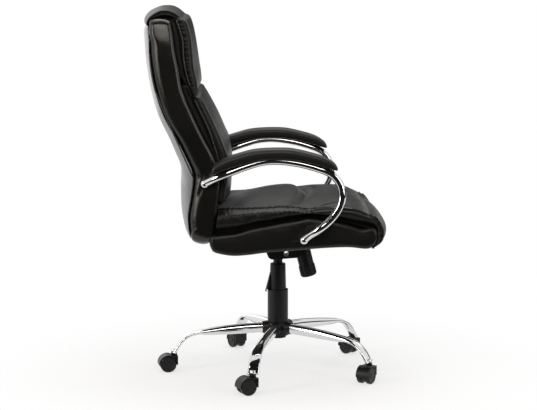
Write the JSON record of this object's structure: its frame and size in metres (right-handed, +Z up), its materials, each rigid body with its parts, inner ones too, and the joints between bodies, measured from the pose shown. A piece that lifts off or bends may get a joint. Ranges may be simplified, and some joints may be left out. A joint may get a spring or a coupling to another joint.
{
  "type": "reclining office chair",
  "caption": "High-backed reclining office chair with a padded headrest, closed loop arms, gas height adjustment and a five-legged star base on twin-wheel castors.",
  "frame": {"origin": "on the floor, on the axis of the column", "axes": "+X the way the sitter faces, +Y to the sitter's left, +Z up"},
  "size_m": [0.7266, 0.6991, 1.112],
  "materials": {
    "chrome": "polished",
    "steel": "satin",
    "black_steel": "satin black paint",
    "black_plastic": "fine grain",
    "white_plastic": "plain",
    "tread": "smooth",
    "leather": "smooth bonded leather over foam",
    "board": "bare plywood",
    "pad": "matt soft-feel polyurethane"
  },
  "bodies": {
    "base": {"hub_tube": "black_steel", "hub_cover": "black_plastic", "leg_1": "chrome", "leg_2": "chrome", "leg_3": "chrome", "leg_4": "chrome", "leg_5": "chrome", "castor_stems": "steel", "column_tube": "black_steel", "guide_bush": "white_plastic", "thrust_bearing": "steel", "lower_cover": "black_plastic", "middle_cover": "black_plastic"},
    "piston": {"piston_rod": "steel"},
    "lift": {"gas_cylinder": "chrome", "upper_cover": "black_plastic", "mechanism_housing": "black_steel", "pivot_tube": "black_steel", "spring_housing": "black_steel", "tension_spring": "steel"},
    "knob": {"tension_knob": "black_plastic"},
    "valve": {"valve_button": "steel"},
    "lever_pivot": {"lever_sleeve": "black_plastic"},
    "lever": {"lever_rod": "steel", "lever_grip": "black_plastic"},
    "seat": {"seat_bracket": "black_steel", "frame_bolts": "steel", "seat_board": "board", "seat_base": "leather", "seat_cushion": "leather", "back_board": "board", "back_shell": "leather", "back_panel": "leather", "back_cushion": "leather", "headrest_cushion": "leather", "headrest_cap": "leather", "arm_tube_left": "chrome", "arm_tube_right": "chrome", "arm_pad_left": "pad", "arm_pad_right": "pad"},
    "castor_1": {"castor_hood_1": "black_plastic", "castor_axle_1": "steel"},
    "wheel_left_1": {"castor_wheel_left_1": "tread"},
    "wheel_right_1": {"castor_wheel_right_1": "tread"},
    "castor_2": {"castor_hood_2": "black_plastic", "castor_axle_2": "steel"},
    "wheel_left_2": {"castor_wheel_left_2": "tread"},
    "wheel_right_2": {"castor_wheel_right_2": "tread"},
    "castor_3": {"castor_hood_3": "black_plastic", "castor_axle_3": "steel"},
    "wheel_left_3": {"castor_wheel_left_3": "tread"},
    "wheel_right_3": {"castor_wheel_right_3": "tread"},
    "castor_4": {"castor_hood_4": "black_plastic", "castor_axle_4": "steel"},
    "wheel_left_4": {"castor_wheel_left_4": "tread"},
    "wheel_right_4": {"castor_wheel_right_4": "tread"},
    "castor_5": {"castor_hood_5": "black_plastic", "castor_axle_5": "steel"},
    "wheel_left_5": {"castor_wheel_left_5": "tread"},
    "wheel_right_5": {"castor_wheel_right_5": "tread"}
  },
  "joints": [
    {"name": "seat_swivel", "type": "hinge", "parent": "base", "child": "piston", "pos_m": [0, 0, 0.101], "axis": [0, 0, 1], "continuous": true},
    {"name": "seat_lift", "type": "slide", "parent": "piston", "child": "lift", "axis": [0, 0, 1], "range_m": [0, 0.08]},
    {"name": "seat_recline", "type": "hinge", "parent": "lift", "child": "seat", "pos_m": [0.025, 0, 0.366], "axis": [0, -1, 0], "range_deg": [0, 15], "stiffness_Nm_per_rad": 100, "springref_deg": -17.19},
    {"name": "knob_turn", "type": "hinge", "parent": "lift", "child": "knob", "pos_m": [0.0785, 0, 0.364], "axis": [0.2385, 0, -0.9711], "range_deg": [-1080, 1080]},
    {"name": "lever_lift", "type": "hinge", "parent": "lift", "child": "lever_pivot", "pos_m": [0, 0.025, 0.3945], "axis": [1, 0, 0], "range_deg": [0, 4.5], "stiffness_Nm_per_rad": 12, "springref_deg": -5.73},
    {"name": "lever_pull", "type": "slide", "parent": "lever_pivot", "child": "lever", "axis": [0, 1, 0], "range_m": [0, 0.012]},
    {"name": "valve_press", "type": "slide", "parent": "lift", "child": "valve", "axis": [0, 0, -1], "range_m": [0, 0.0029], "stiffness_N_per_m": 1500, "springref_m": -0.002},
    {"name": "castor_swivel_1", "type": "hinge", "parent": "base", "child": "castor_1", "pos_m": [-0.31949, -0.01814, 0.058], "axis": [0, 0, 1], "continuous": true},
    {"name": "wheel_left_spin_1", "type": "hinge", "parent": "castor_1", "child": "wheel_left_1", "pos_m": [-0.33918, -0.02161, 0.025], "axis": [0.1736, -0.9848, 0], "continuous": true},
    {"name": "wheel_right_spin_1", "type": "hinge", "parent": "castor_1", "child": "wheel_right_1", "pos_m": [-0.33918, -0.02161, 0.025], "axis": [0.1736, -0.9848, 0], "continuous": true},
    {"name": "castor_swivel_2", "type": "hinge", "parent": "base", "child": "castor_2", "pos_m": [-0.08147, -0.30945, 0.058], "axis": [0, 0, 1], "continuous": true},
    {"name": "wheel_left_spin_2", "type": "hinge", "parent": "castor_2", "child": "wheel_left_2", "pos_m": [-0.09974, -0.31759, 0.025], "axis": [0.4067, -0.9135, 0], "continuous": true},
    {"name": "wheel_right_spin_2", "type": "hinge", "parent": "castor_2", "child": "wheel_right_2", "pos_m": [-0.09974, -0.31759, 0.025], "axis": [0.4067, -0.9135, 0], "continuous": true},
    {"name": "castor_swivel_3", "type": "hinge", "parent": "base", "child": "castor_3", "pos_m": [0.26913, -0.17311, 0.058], "axis": [0, 0, 1], "continuous": true},
    {"name": "wheel_left_spin_3", "type": "hinge", "parent": "castor_3", "child": "wheel_left_3", "pos_m": [0.25883, -0.19026, 0.025], "axis": [0.8572, -0.515, 0], "continuous": true},
    {"name": "wheel_right_spin_3", "type": "hinge", "parent": "castor_3", "child": "wheel_right_3", "pos_m": [0.25883, -0.19026, 0.025], "axis": [0.8572, -0.515, 0], "continuous": true},
    {"name": "castor_swivel_4", "type": "hinge", "parent": "base", "child": "castor_4", "pos_m": [0.24781, 0.20247, 0.058], "axis": [0, 0, 1], "continuous": true},
    {"name": "wheel_left_spin_4", "type": "hinge", "parent": "castor_4", "child": "wheel_left_4", "pos_m": [0.23442, 0.21733, 0.025], "axis": [-0.7431, -0.6691, 0], "continuous": true},
    {"name": "wheel_right_spin_4", "type": "hinge", "parent": "castor_4", "child": "wheel_right_4", "pos_m": [0.23442, 0.21733, 0.025], "axis": [-0.7431, -0.6691, 0], "continuous": true},
    {"name": "castor_swivel_5", "type": "hinge", "parent": "base", "child": "castor_5", "pos_m": [-0.11598, 0.29824, 0.058], "axis": [0, 0, 1], "continuous": true},
    {"name": "wheel_left_spin_5", "type": "hinge", "parent": "castor_5", "child": "wheel_left_5", "pos_m": [-0.12598, 0.31556, 0.025], "axis": [-0.866, -0.5, 0], "continuous": true},
    {"name": "wheel_right_spin_5", "type": "hinge", "parent": "castor_5", "child": "wheel_right_5", "pos_m": [-0.12598, 0.31556, 0.025], "axis": [-0.866, -0.5, 0], "continuous": true}
  ],
  "couplings": [
    {"joint": "valve_press", "follows": "lever_lift", "m_per_rad": 0.036}
  ]
}
